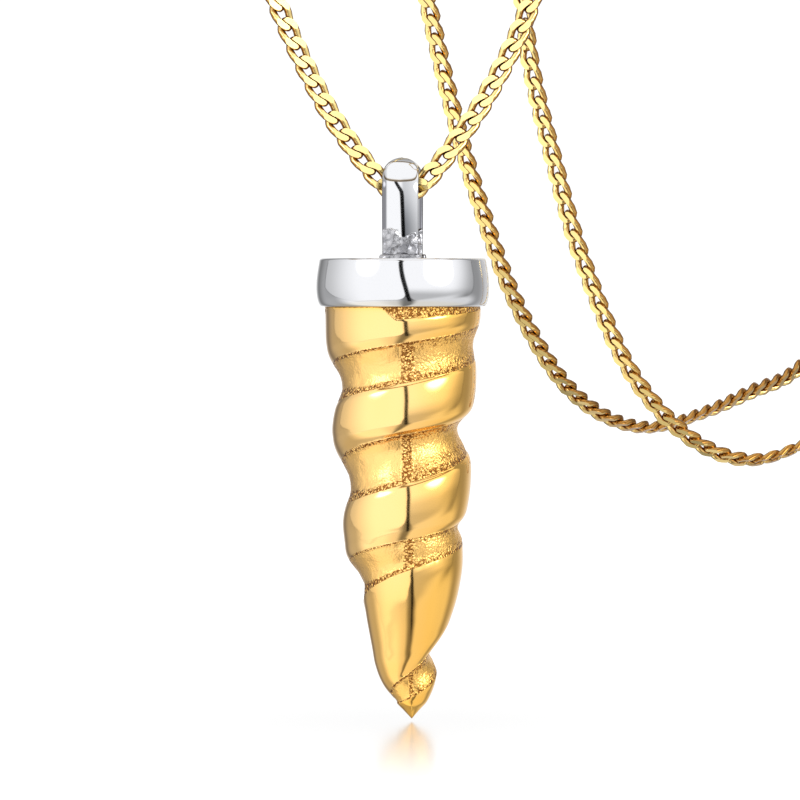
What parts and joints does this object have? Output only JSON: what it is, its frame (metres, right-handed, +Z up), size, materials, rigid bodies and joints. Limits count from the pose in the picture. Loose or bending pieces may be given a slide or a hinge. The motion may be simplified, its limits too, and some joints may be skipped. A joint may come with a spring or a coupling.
{
  "type": "unicorn horn pendant necklace",
  "caption": "Gold unicorn horn pendant with a spiral groove under a polished steel cap and bail, hanging free on a closed gold curb chain with a lobster clasp.",
  "frame": {"origin": "on top of the support that the chain lies over, straight above the pendant, where the chain hangs", "axes": "+Z up, the pendant hangs towards -Z; +X to the right seen from the front; the front of the pendant faces -Y, and the rear swags lie towards +Y"},
  "size_m": [0.0961, 0.1052, 0.1112],
  "materials": {
    "gold_horn": "gold-plated, polished ridges and a rough cast groove",
    "polished_steel": "mirror-polished stainless steel, rough solder at the bail's foot",
    "gold_chain": "gold-plated, filed flat and polished"
  },
  "bodies": {
    "necklace": {"chain_left": "gold_chain", "chain_right": "gold_chain", "clasp": "gold_chain"},
    "pendant": {"cap_with_bail": "polished_steel", "horn": "gold_horn"}
  },
  "joints": [
    {"name": "pendant_swing", "type": "hinge", "parent": "necklace", "child": "pendant", "pos_m": [0, 0, -0.056], "axis": [1, 0, 0], "range_deg": [-90, 90]}
  ]
}
